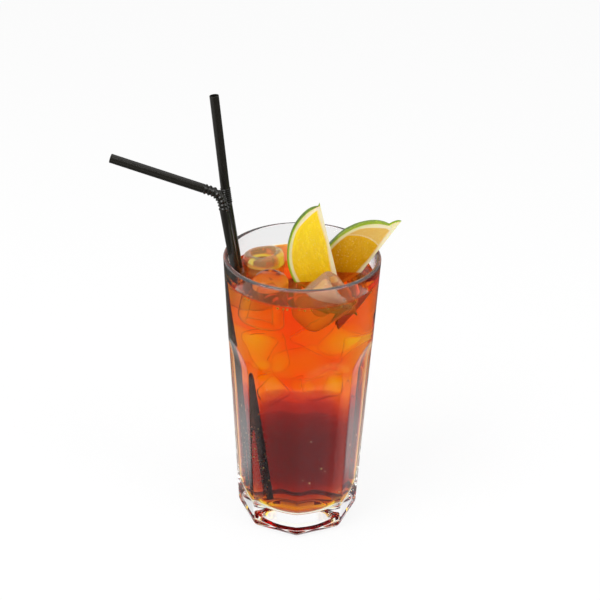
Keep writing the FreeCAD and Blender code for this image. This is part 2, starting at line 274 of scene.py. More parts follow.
def body_radius(z):
    return FOOT_RADIUS + BODY_SLOPE * z


PANEL_HALF_ANGLE = math.pi / PANEL_COUNT - 0.5 * EDGE_WIDTH / body_radius(PANEL_TOP)
PANEL_FACTOR = math.cos(PANEL_HALF_ANGLE)
LIP_HEIGHT = GLASS_HEIGHT - LIP_RADIUS
LIP_MIDDLE = body_radius(LIP_HEIGHT) - LIP_RADIUS
WAIST_RADIUS = body_radius(PANEL_TOP) - WAIST_WALL
CAVITY_SLOPE = (WAIST_RADIUS - CAVITY_FOOT_RADIUS) / (PANEL_TOP - BASE_THICKNESS)


def heel_radius_at(z, foot, slope):
    """Radius of a wall with its rounded heel at a height."""
    tilt = math.atan(slope)
    centre = foot + slope * HEEL_RADIUS - HEEL_RADIUS / math.cos(tilt)
    if z >= HEEL_RADIUS * (1 - math.sin(tilt)):
        return foot + slope * z
    return centre + math.sqrt(max(0.0, HEEL_RADIUS ** 2 - (HEEL_RADIUS - z) ** 2))


def panel_radius_at(z):
    """Distance of a panel from the axis at a height, run out at the top in a round arch."""
    base = heel_radius_at(z, FOOT_RADIUS * PANEL_FACTOR, BODY_SLOPE * PANEL_FACTOR)
    rise = z - PANEL_TOP
    if rise <= 0:
        return base
    top = FOOT_RADIUS * PANEL_FACTOR + BODY_SLOPE * PANEL_FACTOR * (PANEL_TOP + ARCH_RISE)
    depth = body_radius(PANEL_TOP + ARCH_RISE) - top
    run_out = (ARCH_RISE ** 2 + depth ** 2) / (2 * depth)
    return base + run_out - math.sqrt(max(0.0, run_out ** 2 - min(rise, run_out) ** 2))


def soft_min(a, b, k):
    h = max(0.0, 1.0 - abs(a - b) / (2 * k))
    return min(a, b) - 0.5 * k * h * h


def cavity_radius(z, gap=0.0):
    rise = z - PANEL_TOP
    base = WAIST_RADIUS + CAVITY_SLOPE * rise - gap
    if rise <= 0:
        return base
    span = LIP_HEIGHT - PANEL_TOP
    extra = LIP_MIDDLE - LIP_RADIUS - WAIST_RADIUS - CAVITY_SLOPE * span
    return base + extra * (rise / span) ** 2


def cavity_profile(gap, top, rings):
    """Inside of the glass from the axis at the floor up to a height, drawn in by gap."""
    floor = BASE_THICKNESS + gap
    corner = FLOOR_CORNER - gap
    tilt = math.atan(CAVITY_SLOPE)
    foot = CAVITY_FOOT_RADIUS + CAVITY_SLOPE * gap - gap
    centre = (foot + CAVITY_SLOPE * corner - corner / math.cos(tilt), floor + corner)
    points = spread((0, floor), (centre[0], floor), 5)
    points = [(0, floor)] + points[:-1] + arc_points(centre, corner, -90, -math.degrees(tilt), 12)
    start = points[-1][1]
    for k in range(1, rings + 1):
        z = start + (top - start) * k / rings
        points.append((cavity_radius(z, gap), z))
    return points


def tumbler_profile():
    inside = cavity_profile(0.0, LIP_HEIGHT, 26)
    lip = arc_points((LIP_MIDDLE, LIP_HEIGHT), LIP_RADIUS, 180, 0, 14)
    points = inside[:-1] + lip
    band = PANEL_TOP + ARCH_RISE + 2 * MM
    points += [(body_radius(z), z) for z in steps_down(LIP_HEIGHT, band, 5)]
    points += [(body_radius(z), z) for z in steps_down(band, PANEL_TOP - 4 * MM, 40)]
    points += [(body_radius(z), z) for z in steps_down(PANEL_TOP - 4 * MM, HEEL_RADIUS, 9)]
    for k in range(1, 11):
        z = HEEL_RADIUS * (1 - math.sin(math.radians(9.0 * k)))
        points.append((heel_radius_at(z, FOOT_RADIUS, BODY_SLOPE), z))
    ring = GROOVE_RADIUS
    points += [(0.5 * (points[-1][0] + ring + GROOVE_HALF), 0.0)]
    groove = [(ring + GROOVE_HALF * math.cos(a), GROOVE_DEPTH * math.sin(a))
              for a in (math.pi * k / 8 for k in range(9))]
    points += groove + [(0.5 * ring, 0.0), (0.0, 0.0)]
    return points


def steps_down(top, bottom, count):
    return [top + (bottom - top) * k / count for k in range(1, count + 1)]


def press_panels(obj):
    """The lathe's rings gathered at the panel edges, and its outside pressed in to the panels."""
    sector = 2 * math.pi / PANEL_COUNT
    for v in obj.data.vertices:
        r = math.hypot(v.co.x, v.co.y)
        if r < 1e-6:
            continue
        turn = math.atan2(v.co.x, -v.co.y)
        place = (turn / sector) % 1.0
        side = 1.0 if place <= 0.5 else -1.0
        share = 2 * min(place, 1 - place)
        gathered = 0.5 * sector * share ** 1.5
        edge = round(turn / sector)
        turn = edge * sector + side * gathered
        z = v.co.z
        if z > BASE_THICKNESS:
            outside = r > cavity_radius(z) + 0.25 * WAIST_WALL
        else:
            outside = r > GROOVE_RADIUS + 2 * GROOVE_HALF
        if outside and z < PANEL_TOP + 2.2 * ARCH_RISE:
            flat = panel_radius_at(z) / math.cos(0.5 * sector - gathered)
            r = soft_min(r, flat, EDGE_SOFTNESS)
        v.co.x = r * math.sin(turn)
        v.co.y = -r * math.cos(turn)


def build_tumbler():
    obj = lathe("tumbler", tumbler_profile(), 2 * PANEL_COUNT * HALF_PANEL_STEPS)
    press_panels(obj)
    clean(obj)
    smooth(obj)
    return obj


# ---------------------------------------------------------------- ice

def node_copy(node, name):
    """A merged copy of a CAD node's own mesh."""
    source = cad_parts[node]
    obj = bpy.data.objects.new(name, source.data.copy())
    bpy.context.scene.collection.objects.link(obj)
    obj.data.materials.clear()
    clean(obj, 2e-6)
    return obj


def melted(obj):
    """Wet ice: an even skin with slow dents in it."""
    remesh = obj.modifiers.new("skin", "REMESH")
    remesh.mode = "VOXEL"
    remesh.voxel_size = ICE_SKIN_PITCH
    apply_modifiers(obj)
    relax = obj.modifiers.new("relax", "SMOOTH")
    relax.factor = 0.5
    relax.iterations = 5
    dents = bpy.data.textures.new(obj.name + "_dents", "CLOUDS")
    dents.noise_scale = ICE_DENT_SIZE
    dents.noise_depth = 1
    bump = obj.modifiers.new("dents", "DISPLACE")
    bump.texture = dents
    bump.texture_coords = "LOCAL"
    bump.mid_level = 0.5
    bump.strength = 2 * ICE_DENT
    apply_modifiers(obj)
    smooth(obj)
    return obj


def shrunk_shell(obj, name, inset):
    """A copy drawn in along its normals, or swelled where inset is below 0, for cutting the drink."""
    copy = obj.copy()
    copy.data = obj.data.copy()
    copy.name = name
    bpy.context.scene.collection.objects.link(copy)
    normals = [v.normal.copy() for v in copy.data.vertices]
    for v, n in zip(copy.data.vertices, normals):
        v.co -= n * inset
    return copy


def sunk_cube(pattern, k, middle, axis, size):
    """A copy of the plain cube, turned and moved to its own place, and dented in its own way."""
    obj = pattern.copy()
    obj.data = pattern.data.copy()
    obj.name = f"ice_sunk_{k}"
    bpy.context.scene.collection.objects.link(obj)
    goal = Vector(axis).normalized()
    for v in obj.data.vertices:
        dent = noise.noise(v.co * 105 + Vector((k * 3.7, 0, 0))) * CUBE_DENT
        v.co = (v.co + v.normal * dent) * size
    turn = goal.to_track_quat("Z", "Y").to_matrix().to_4x4()
    obj.data.transform(Matrix.Translation(Vector(middle) * MM) @ turn)
    return obj


def cube_pattern():
    """A plain melted cube about its own middle."""
    low, high = -0.5 * CUBE_LENGTH, 0.5 * CUBE_LENGTH
    tail, mouth = CUBE_TAIL - CUBE_DOME, CUBE_MOUTH - CUBE_EDGE
    points = [(0, low)] + spread((0, low), (tail, low), 4)
    points += arc_points((tail, low + CUBE_DOME), CUBE_DOME, -90, 0, 8)[1:]
    points += spread((CUBE_TAIL, low + CUBE_DOME), (CUBE_MOUTH, high - CUBE_EDGE), 12)
    points += arc_points((mouth, high - CUBE_EDGE), CUBE_EDGE, 0, 90, 7)[1:]
    points += spread((mouth, high), (0, high), 5)
    return lathe("cube_pattern", points, 48)


# ---------------------------------------------------------------- drink

def drink_profile():
    into = -INTO_WALL
    inside = cavity_profile(into, DRINK_LEVEL - 1.2 * MM, 24)
    wall = cavity_radius(DRINK_LEVEL + MENISCUS, into)
    meniscus = []
    for k in range(1, 8):
        t = k / 7
        meniscus.append((wall - MENISCUS_WIDTH * t, DRINK_LEVEL + MENISCUS * (1 - t) ** 2.2))
    top = [(wall, DRINK_LEVEL + MENISCUS)]
    flat = spread(meniscus[-1], (0.0, DRINK_LEVEL), 8)
    return inside + top + meniscus + flat


def join_shell(target, shell):
    """A sunk cube's skin turned inside out and joined to the red tea, which so makes room for it."""
    make_active(shell)
    bpy.ops.object.mode_set(mode="EDIT")
    bpy.ops.mesh.select_all(action="SELECT")
    bpy.ops.mesh.flip_normals()
    bpy.ops.object.mode_set(mode="OBJECT")
    deselect_all()
    shell.select_set(True)
    target.select_set(True)
    bpy.context.view_layer.objects.active = target
    bpy.ops.object.join()


def cut_by(target, tool):
    cut = target.modifiers.new("cut", "BOOLEAN")
    cut.operation = "DIFFERENCE"
    cut.solver = "EXACT"
    cut.object = tool
    apply_modifiers(target)


def make_room(target, cubes, inset):
    """The target cut round each cube."""
    for cube in cubes:
        tool = shrunk_shell(cube, "room", inset)
        cut_by(target, tool)
        bpy.data.objects.remove(tool)


def build_drink(poking):
    """The whole drink up to its level, round the ice that stands out of it."""
    obj = lathe("iced_tea", drink_profile(), 160)
    make_room(obj, poking, INTO_WALL)
    smooth(obj, 40)
    return obj


def build_red_tea(poking, sunk):
    """The colour of the tea, which makes room for every ice cube, so the ice glows in it."""
    top = DRINK_LEVEL - RED_TEA_DROP
    points = cavity_profile(RED_TEA_GAP, top, 24)
    obj = lathe("red_tea", points + spread(points[-1], (0, top), 8), 96)
    make_room(obj, poking, -0.3 * MM)
    for cube in sunk:
        join_shell(obj, shrunk_shell(cube, "shell", -0.05 * MM))
    smooth(obj)
    return obj


def bubble_places():
    """Middle and size of each bubble: up the straws, on the inside wall, and a few under the surface."""
    dice = random.Random(BUBBLE_SEED)
    places = []
    for pose in (BENT_STRAW, STRAIGHT_STRAW):
        stations = straw_stations(pose)
        foot, heading = stations[0][0], stations[0][1]
        side = heading.cross(Vector((0, 1, 0))).normalized()
        for _ in range(STRAW_BUBBLES):
            size = dice.uniform(0.28, 0.60) * MM
            out = turned(side, heading, dice.uniform(0, 2 * math.pi))
            up = (4 + 62 * dice.random() ** 1.6) * MM
            places.append((foot + heading * up + out * (STRAW_RADIUS + size + 0.15 * MM), size))
    for _ in range(WALL_BUBBLES):
        size = dice.uniform(0.25, 0.60) * MM
        a = dice.uniform(0, 2 * math.pi)
        z = (24 + 50 * dice.random()) * MM
        reach = cavity_radius(z) - size - 0.35 * MM
        places.append((Vector((reach * math.cos(a), reach * math.sin(a), z)), size))
    for _ in range(SURFACE_BUBBLES):
        size = dice.uniform(0.35, 0.75) * MM
        a = dice.uniform(-0.95, -0.05) * math.pi
        reach = cavity_radius(DRINK_LEVEL) - size - dice.uniform(1.0, 2.2) * MM
        z = DRINK_LEVEL - size - 0.9 * MM
        places.append((Vector((reach * math.cos(a), reach * math.sin(a), z)), size))
    return places


def build_bubbles():
    """All the bubbles as one skin; those that would touch another are left out."""
    deselect_all()
    bpy.ops.mesh.primitive_ico_sphere_add(subdivisions=2, radius=1.0, location=(0, 0, 0))
    first = bpy.context.object
    first.name = "bubbles"
    kept = []
    for middle, size in bubble_places():
        alone = all((middle - m).length > size + r + 0.1 * MM for m, r in kept)
        if middle.z > BASE_THICKNESS + 4 * MM and alone:
            kept.append((middle, size))
    copies = []
    for middle, size in kept[1:]:
        copy = first.copy()
        copy.data = first.data.copy()
        copy.data.transform(Matrix.Translation(middle) @ Matrix.Scale(size, 4))
        bpy.context.scene.collection.objects.link(copy)
        copies.append(copy)
    first.data.transform(Matrix.Translation(kept[0][0]) @ Matrix.Scale(kept[0][1], 4))
    deselect_all()
    for copy in copies:
        copy.select_set(True)
    first.select_set(True)
    bpy.context.view_layer.objects.active = first
    bpy.ops.object.join()
    smooth(first)
    return first


def build_glow_layer(poking):
    """A thin cloudy orange layer just under the surface, whose lit colour paints the glow of the drink."""
    top, bottom = DRINK_LEVEL - GLOW_LAYER_TOP, DRINK_LEVEL - GLOW_LAYER_BOTTOM
    reach = cavity_radius(DRINK_LEVEL) - GLOW_LAYER_GAP
    points = [(0, bottom)] + spread((0, bottom), (reach, bottom), 8)
    points += [(reach, top)] + spread((reach, top), (0, top), 8)
    obj = lathe("painted_glow_layer", points, 96)
    make_room(obj, poking, -0.25 * MM)
    smooth(obj, 40)
    return obj


def build_cola_cloud(k):
    """One of the nested layers of darker drink that has sunk: each lower one adds to the dark."""
    points = cavity_profile(COLA_GAP + COLA_GAP_STEP * k, COLA_TOP - COLA_STEP * k, 10)
    edge = points[-1]
    count = 22
    for step in range(1, count + 1):
        t = step / count
        points.append((edge[0] * (1 - t), edge[1] + COLA_DOME * eased(t, -0.15, 0.9)))
    obj = lathe(f"cola_cloud_{k}", points, 96)
    smooth(obj)
    return obj


# ---------------------------------------------------------------- straws

def turned(v, axis, angle):
    return Matrix.Rotation(angle, 3, axis) @ v


def straw_stations(pose):
    """Points, directions and radii along a straw, from its foot to its mouth end."""
    a = math.radians(pose["rest"])
    foot = Vector((pose["foot"][0] * MM, pose["foot"][1] * MM, BASE_THICKNESS))
    clear = LIP_RADIUS + STRAW_RADIUS + REST_GAP
    reach = LIP_MIDDLE - clear
    for _ in range(2):
        rest = Vector((reach * math.cos(a), reach * math.sin(a), LIP_HEIGHT))
        rough = (rest - foot).normalized()
        reach = LIP_MIDDLE - clear / rough.z
    foot.z += STRAW_RADIUS * math.sqrt(1 - rough.z ** 2) + REST_GAP
    heading = (rest - foot).normalized()
    arm = Vector(pose["arm"]).normalized()
    hinge = heading.cross(arm).normalized()
    bend = heading.angle(arm)
    pitch = pose["pitch"] * MM
    lead_in, lead_out = pose["lead_in"] * MM, pose["lead_out"] * MM
    curved = RIB_COUNT * pitch - lead_in - lead_out
    out = [(foot + heading * STRAW_SHAFT * k / 12, heading, STRAW_RADIUS) for k in range(12)]
    out += [(foot + heading * (STRAW_SHAFT - STRAW_COLLAR), heading, STRAW_RADIUS)]
    point = foot + heading * STRAW_SHAFT
    count = RIB_COUNT * RIB_STATIONS
    step = RIB_COUNT * pitch / count
    for k in range(count + 1):
        share = min(1.0, max(0.0, (k * step - lead_in) / curved))
        direction = turned(heading, hinge, bend * share)
        wave = 0.5 - 0.5 * math.cos(2 * math.pi * k / RIB_STATIONS)
        radius = STRAW_RADIUS - RIB_VALLEY + (RIB_CREST + RIB_VALLEY) * wave ** 0.8
        if k in (0, count):
            radius = STRAW_RADIUS
        out.append((point.copy(), direction, radius))
        half = min(1.0, max(0.0, ((k + 0.5) * step - lead_in) / curved))
        point = point + turned(heading, hinge, bend * half) * step
    last = out[-1][0]
    out += [(last + arm * STRAW_COLLAR, arm, STRAW_RADIUS)]
    out += [(last + arm * STRAW_TIP * k / 4, arm, STRAW_RADIUS) for k in range(1, 5)]
    return out


def build_straw(name, pose):
    """A tube of rings extruded along the straw, given its wall."""
    stations = straw_stations(pose)
    deselect_all()
    bpy.ops.mesh.primitive_circle_add(vertices=STRAW_SIDES, radius=1.0, fill_type="NOTHING",
                                      location=(0, 0, 0))
    obj = bpy.context.object
    obj.name = name
    bpy.ops.object.mode_set(mode="EDIT")
    bpy.ops.mesh.select_all(action="SELECT")
    for _ in stations[1:]:
        bpy.ops.mesh.extrude_region_move(TRANSFORM_OT_translate={"value": (0, 0, 1.0)})
    bpy.ops.object.mode_set(mode="OBJECT")
    side = Vector((0, 1, 0))
    frames = []
    for point, direction, radius in stations:
        across = side.cross(direction).normalized()
        frames.append((point, across, direction.cross(across), radius))
    for v in obj.data.vertices:
        point, across, over, radius = frames[round(v.co.z)]
        v.co = point + (across * v.co.x + over * v.co.y) * radius
    clean(obj)
    wall = obj.modifiers.new("wall", "SOLIDIFY")
    wall.thickness = STRAW_WALL
    wall.offset = -1
    apply_modifiers(obj)
    clean(obj)
    smooth(obj, 60)
    return obj


# ---------------------------------------------------------------- lime

def lime_radius(s, pose):
    round_half = 0.5 * pose["round"] * MM
    point = pose["point"] * MM
    swell = 1 - (abs(s) / round_half) ** LIME_FULLNESS
    flesh = pose["radius"] * MM * math.sqrt(max(0.0, swell))
    run = min(1.0, (round_half + point - abs(s)) / (2.5 * point))
    end = LIME_POINT_WIDTH * point * math.sqrt(max(0.0, run * (2 - run)))
    return math.sqrt(flesh ** 2 + end ** 2)


def wedge_axes(pose):
    """Core and rind directions of a wedge that leans sideways and back, then turns on its core."""
    side, back, turn = (math.radians(pose[key]) for key in ("lean_side", "lean_back", "turn"))
    core = Vector((math.sin(side) * math.cos(back), math.sin(back), math.cos(side) * math.cos(back)))
    front = Vector((core.x * core.y, core.y ** 2 - 1, core.z * core.y)).normalized()
    rind = front.cross(core)
    if rind.x > 0:
        rind = -rind
    return core, turned(rind, core, turn)


def back_middle():
    """Middle of the back wedge's core, from where it leans on the lip."""
    core, _ = wedge_axes(BACK_WEDGE)
    a = math.radians(BACK_REST_ANGLE)
    reach = LIP_MIDDLE - (LIP_RADIUS + REST_GAP - 0.5 * WEDGE_TRIM) / core.z
    rest = Vector((reach * math.cos(a), reach * math.sin(a), LIP_HEIGHT))
    return rest - core * BACK_REST_SLIDE


def flesh_depth(s, r, full, pose):
    """How far a point of a cut face lies inside the flesh; below 0 it is pith, core or membrane."""
    half = 0.5 * pose["round"] * MM
    pith = ZEST + PITH + 3.5 * MM * eased(s, 0.60 * half, 1.0 * half)
    core = CORE_STRIP * (0.55 + 1.1 * eased(-s, -0.8 * half, 0.45 * half)
                         + 0.9 * eased(s, 0.2 * half, 0.8 * half))
    inside = min(full - r - pith, 0.55 * (r - core), 0.93 * half - abs(s))
    if pose["lobe"]:
        bow = 17.5 * MM - 5.0 * MM * (r / (12 * MM) - 0.6) ** 2
        inside = min(inside, abs(s - bow) - 0.1 * MM)
        if s > bow:
            inside = min(inside, 0.30 * MM)
    return inside


def juice_sacs(s, r, full, seed):
    """Height and tone of the long juice sacs, which run from tip to tip."""
    share = r / max(full, 1e-5)
    wander = noise.noise(Vector((s * 160, share * 5, seed))) * 0.8
    p = Vector((share * 26.0 + wander, s / SAC_LENGTH + 0.35 * share, seed))
    gaps, cells = noise.voronoi(p)
    body = min(1.0, (gaps[1] - gaps[0]) * 1.7)
    return math.sqrt(max(0.0, body)), noise.cell(cells[0] * 7.31)


def build_wedge(name, pose):
    """One wedge in its own frame: core on Z, the front cut face towards +X, flesh towards -Y."""
    half = (0.5 * pose["round"] + pose["point"]) * MM
    deselect_all()
    bpy.ops.mesh.primitive_grid_add(x_subdivisions=WEDGE_COLUMNS, y_subdivisions=WEDGE_ROWS, size=2.0,
                                    location=(0, 0, 0))
    obj = bpy.context.object
    obj.name = name
    for v in obj.data.vertices:
        s = half * math.sin(0.5 * math.pi * v.co.y) * 0.9998
        v.co = (lime_radius(s, pose) * 0.5 * (v.co.x + 1), 0.0, s)
    bpy.ops.object.mode_set(mode="EDIT")
    bpy.ops.mesh.select_all(action="SELECT")
    bpy.ops.mesh.spin(steps=WEDGE_TURNS, angle=WEDGE_ANGLE, center=(0, 0, 0), axis=(0, 0, 1))
    bpy.ops.object.mode_set(mode="OBJECT")
    for v in obj.data.vertices:
        v.co.y = -abs(v.co.y)
    clean(obj, 4e-6)
    carve_wedge(obj, pose)
    clean(obj, 0.0)
    smooth(obj, 50)
    return obj


def carve_wedge(obj, pose):
    """Juice sacs, pith and a pored rind worked into the plain wedge, with their extent kept on the mesh."""
    mesh = obj.data
    count = len(mesh.vertices)
    depth, flesh, tone, along_core, skin = ([0.0] * count for _ in range(5))
    seed = pose["seed"]
    bisector = Vector((math.cos(0.5 * WEDGE_ANGLE), -math.sin(0.5 * WEDGE_ANGLE), 0))
    first_out = Vector((0, 1, 0))
    second_out = Vector((-math.sin(WEDGE_ANGLE), -math.cos(WEDGE_ANGLE), 0))
    for k, v in enumerate(mesh.vertices):
        x, y, s = v.co
        r = math.hypot(x, y)
        turn = math.atan2(-y, x) if r > 1e-6 else 0.0
        full = lime_radius(s, pose)
        depth[k] = full - r
        along_core[k] = s
        on_face = turn < 1e-3 or turn > WEDGE_ANGLE - 1e-3
        on_rind = full - r < 2e-6
        if on_face and not on_rind:
            inside = flesh_depth(s, r, full, pose)
            flesh[k] = inside
            body, tone[k] = juice_sacs(s, r, full, seed + (7 if turn > 0.3 else 0))
            lift = SAC_HEIGHT * body * eased(inside, -0.1 * MM, 1.2 * MM) - PULP_SINK
            lift += PULP_GRAIN * noise.noise(v.co * 260)
            if depth[k] < 1.2 * MM:
                lift = -0.10 * MM * eased(depth[k], 0.0, 1.2 * MM)
            if r < 2 * MM:
                lift *= r / (2 * MM)
            out = first_out if turn < 1e-3 else second_out
            v.co += out * min(lift, PULP_CAP)
        if on_rind:
            flesh[k] = -3 * MM
            gaps, _ = noise.voronoi(v.co * 620 + Vector((seed, 0, 0)))
            pore = eased(gaps[0], 0.10, 0.55)
            sag = (pore - 1) * PORE_DEPTH + RIND_SWELL * noise.noise(v.co * 120) - RIND_SINK
            skin[k] = pore
            v.co += Vector((x, y, 0)).normalized() * sag
        reach = v.co.dot(bisector)
        if reach < WEDGE_TRIM:
            v.co += bisector * (WEDGE_TRIM - reach)
    for label, values in (("depth", depth), ("flesh", flesh), ("tone", tone), ("along", along_core),
                          ("skin", skin)):
        layer = mesh.attributes.new(label, "FLOAT", "POINT")
        layer.data.foreach_set("value", values)


def place_wedge(obj, pose, middle):
    core, rind = wedge_axes(pose)
    m = Matrix((rind, core.cross(rind), core)).transposed().to_4x4()
    obj.data.transform(Matrix.Translation(middle) @ m)


# ---------------------------------------------------------------- materials

def new_material(name):
    mat = bpy.data.materials.new(name)
    mat.use_nodes = True
    nodes = mat.node_tree.nodes
    return mat, nodes, mat.node_tree.links, nodes["Principled BSDF"]


def clear_material(name, ior, glint=1.0, roughness=0.0, wave_scale=90.0, wave_depth=0.02, cloud=0.0,
                   tint=(1, 1, 1), absorb=None):
    """Glass, ice or liquid: clear, with a faint slow waviness, and a colour taken in its depth."""
    mat, nodes, links, shader = new_material(name)
    shader.inputs["Base Color"].default_value = (*tint, 1)
    shader.inputs["Roughness"].default_value = roughness
    shader.inputs["IOR"].default_value = ior
    shader.inputs["Specular Tint"].default_value = (glint, glint, glint, 1)
    shader.inputs["Transmission Weight"].default_value = 1.0 - cloud
    if wave_depth > 0:
        place = nodes.new("ShaderNodeTexCoord")
        noise_node = nodes.new("ShaderNodeTexNoise")
        noise_node.inputs["Scale"].default_value = wave_scale
        noise_node.inputs["Detail"].default_value = 1.5
        bump = nodes.new("ShaderNodeBump")
        bump.inputs["Strength"].default_value = wave_depth
        bump.inputs["Distance"].default_value = 1.0 * MM
        links.new(place.outputs["Object"], noise_node.inputs["Vector"])
        links.new(noise_node.outputs["Fac"], bump.inputs["Height"])
        links.new(bump.outputs["Normal"], shader.inputs["Normal"])
    if absorb is not None:
        volume = nodes.new("ShaderNodeVolumeAbsorption")
        colour, density = absorption(*absorb)
        volume.inputs["Color"].default_value = (*colour, 1)
        volume.inputs["Density"].default_value = density
        links.new(volume.outputs["Volume"], nodes["Material Output"].inputs["Volume"])
    return mat


def ice_material(name, cloud, tint):
    return clear_material(name, ICE_IOR, glint=0.5, wave_scale=160, wave_depth=0.05, cloud=cloud, tint=tint)


def painted_glow_above_level(mat):
    """Painted glow: the part of a cube that stands out of the drink is tinted orange, standing for the lit
    tea seen through the ice; the part in the drink stays clear.
    """
    nodes, links = mat.node_tree.nodes, mat.node_tree.links
    height = nodes.new("ShaderNodeSeparateXYZ")
    links.new(nodes.new("ShaderNodeTexCoord").outputs["Object"], height.inputs[0])
    # painted glow: orange above the level, pale below it
    glow_tint = ramp_of(nodes, links, height.outputs["Z"], [(DRINK_LEVEL - 9 * MM, (1.0, 0.93, 0.75)),
                                                        (DRINK_LEVEL + 1 * MM, (0.92, 0.56, 0.32))])
    links.new(glow_tint, nodes["Principled BSDF"].inputs["Base Color"])


def absorption(red, green, blue):
    """Colour and density for what a liquid takes from red, green and blue in each metre."""
    density = max(red, green, blue)
    return (1 - red / density, 1 - green / density, 1 - blue / density), density


def straw_material():
    mat, nodes, links, shader = new_material("straw_black")
    place = nodes.new("ShaderNodeTexCoord")
    fine = nodes.new("ShaderNodeTexNoise")
    fine.inputs["Scale"].default_value = 900
    fine.inputs["Detail"].default_value = 3
    links.new(place.outputs["Object"], fine.inputs["Vector"])
    colour = nodes.new("ShaderNodeValToRGB")
    colour.color_ramp.elements[0].position = 0.3
    colour.color_ramp.elements[0].color = (0.0095, 0.0085, 0.0060, 1)
    colour.color_ramp.elements[1].position = 0.75
    colour.color_ramp.elements[1].color = (0.0135, 0.0120, 0.0085, 1)
    links.new(fine.outputs["Fac"], colour.inputs["Fac"])
    links.new(colour.outputs["Color"], shader.inputs["Base Color"])
    gloss = nodes.new("ShaderNodeMapRange")
    gloss.inputs["To Min"].default_value = 0.22
    gloss.inputs["To Max"].default_value = 0.28
    links.new(fine.outputs["Fac"], gloss.inputs["Value"])
    links.new(gloss.outputs["Result"], shader.inputs["Roughness"])
    bump = nodes.new("ShaderNodeBump")
    bump.inputs["Strength"].default_value = 0.04
    bump.inputs["Distance"].default_value = 0.05 * MM
    links.new(fine.outputs["Fac"], bump.inputs["Height"])
    links.new(bump.outputs["Normal"], shader.inputs["Normal"])
    return mat


def attribute(nodes, label):
    node = nodes.new("ShaderNodeAttribute")
    node.attribute_name = label
    return node.outputs["Fac"]


def ramp_of(nodes, links, value, stops):
    """A colour ramp over stops of (value, colour); values may be any size."""
    low, high = stops[0][0], stops[-1][0]
    span = nodes.new("ShaderNodeMapRange")
    span.inputs["From Min"].default_value = low
    span.inputs["From Max"].default_value = high
    links.new(value, span.inputs["Value"])
    ramp = nodes.new("ShaderNodeValToRGB")
    elements = ramp.color_ramp.elements
    while len(elements) < len(stops):
        elements.new(0.5)
    for element, (at, colour) in zip(elements, stops):
        element.position = (at - low) / (high - low)
        element.color = (*colour, 1)
    links.new(span.outputs["Result"], ramp.inputs["Fac"])
    return ramp.outputs["Color"]


def mixed(nodes, links, share, first, second, kind="MIX"):
    mix = nodes.new("ShaderNodeMix")
    mix.data_type = "RGBA"
    mix.blend_type = kind
    if isinstance(share, float):
        mix.inputs["Factor"].default_value = share
    else:
        links.new(share, mix.inputs["Factor"])
    links.new(first, mix.inputs[6])
    links.new(second, mix.inputs[7])
    return mix.outputs[2]


def lime_material(name, top, low):
    """Rind, pith and flesh of a cut lime, told apart by how deep they lie under the skin."""
    mat, nodes, links, shader = new_material(name)
    place = nodes.new("ShaderNodeTexCoord").outputs["Object"]
    blotch = nodes.new("ShaderNodeTexNoise")
    blotch.inputs["Scale"].default_value = 70
    blotch.inputs["Detail"].default_value = 4
    links.new(place, blotch.inputs["Vector"])
    grain = nodes.new("ShaderNodeTexNoise")
    grain.inputs["Scale"].default_value = 1400
    grain.inputs["Detail"].default_value = 3
    links.new(place, grain.inputs["Vector"])
    green = ramp_of(nodes, links, blotch.outputs["Fac"],
                    [(0.30, (0.060, 0.125, 0.001)), (0.50, (0.165, 0.265, 0.001)),
                     (0.72, (0.330, 0.440, 0.004))])
    pores = ramp_of(nodes, links, attribute(nodes, "skin"), [(0.0, (0.55, 0.60, 0.45)), (0.6, (1, 1, 1))])
    skin = mixed(nodes, links, 1.0, green, pores, "MULTIPLY")
    wander = nodes.new("ShaderNodeMath")
    wander.operation = "MULTIPLY_ADD"
    wander.inputs[1].default_value = 0.7 * MM
    links.new(blotch.outputs["Fac"], wander.inputs[0])
    links.new(attribute(nodes, "depth"), wander.inputs[2])
    zest = ramp_of(nodes, links, wander.outputs[0],
                   [(0.45 * MM, (0.17, 0.34, 0.001)), (1.25 * MM, (0.40, 0.52, 0.03)),
                    (1.75 * MM, (0.74, 0.70, 0.36)), (4.0 * MM, (0.80, 0.72, 0.48))])
    edge = ramp_of(nodes, links, attribute(nodes, "depth"), [(0.0, (0, 0, 0)), (0.25 * MM, (1, 1, 1))])
    outer = mixed(nodes, links, edge, skin, zest)
    # painted shade: the flesh darkens and turns more orange towards the lower end of the core
    pulp = ramp_of(nodes, links, attribute(nodes, "along"), [(-24 * MM, low), (22 * MM, top)])
    tone = ramp_of(nodes, links, attribute(nodes, "tone"),
                   [(0.0, (0.96, 0.93, 0.86)), (1.0, (1.03, 1.04, 1.15))])
    pulp = mixed(nodes, links, 1.0, pulp, tone, "MULTIPLY")
    fleck = ramp_of(nodes, links, grain.outputs["Fac"], [(0.60, (0, 0, 0)), (0.74, (0.5, 0.5, 0.5))])
    pale = nodes.new("ShaderNodeRGB")
    pale.outputs[0].default_value = (0.95, 0.80, 0.30, 1)
    pulp = mixed(nodes, links, fleck, pulp, pale.outputs[0])
    inside = ramp_of(nodes, links, attribute(nodes, "flesh"),
                     [(-0.25 * MM, (0, 0, 0)), (0.45 * MM, (1, 1, 1))])
    links.new(mixed(nodes, links, inside, outer, pulp), shader.inputs["Base Color"])
    gloss = nodes.new("ShaderNodeMapRange")
    gloss.inputs["To Min"].default_value = 0.42
    gloss.inputs["To Max"].default_value = 0.22
    links.new(inside, gloss.inputs["Value"])
    links.new(gloss.outputs["Result"], shader.inputs["Roughness"])
    shader.inputs["Specular IOR Level"].default_value = 0.28
    shader.inputs["Subsurface Weight"].default_value = 0.35
    shader.inputs["Subsurface Radius"].default_value = (1.0, 0.6, 0.15)
    shader.inputs["Subsurface Scale"].default_value = 2.0 * MM
    bump = nodes.new("ShaderNodeBump")
    bump.inputs["Strength"].default_value = 0.25
    bump.inputs["Distance"].default_value = 0.15 * MM
    links.new(grain.outputs["Fac"], bump.inputs["Height"])
    links.new(bump.outputs["Normal"], shader.inputs["Normal"])
    return mat


# ---------------------------------------------------------------- build

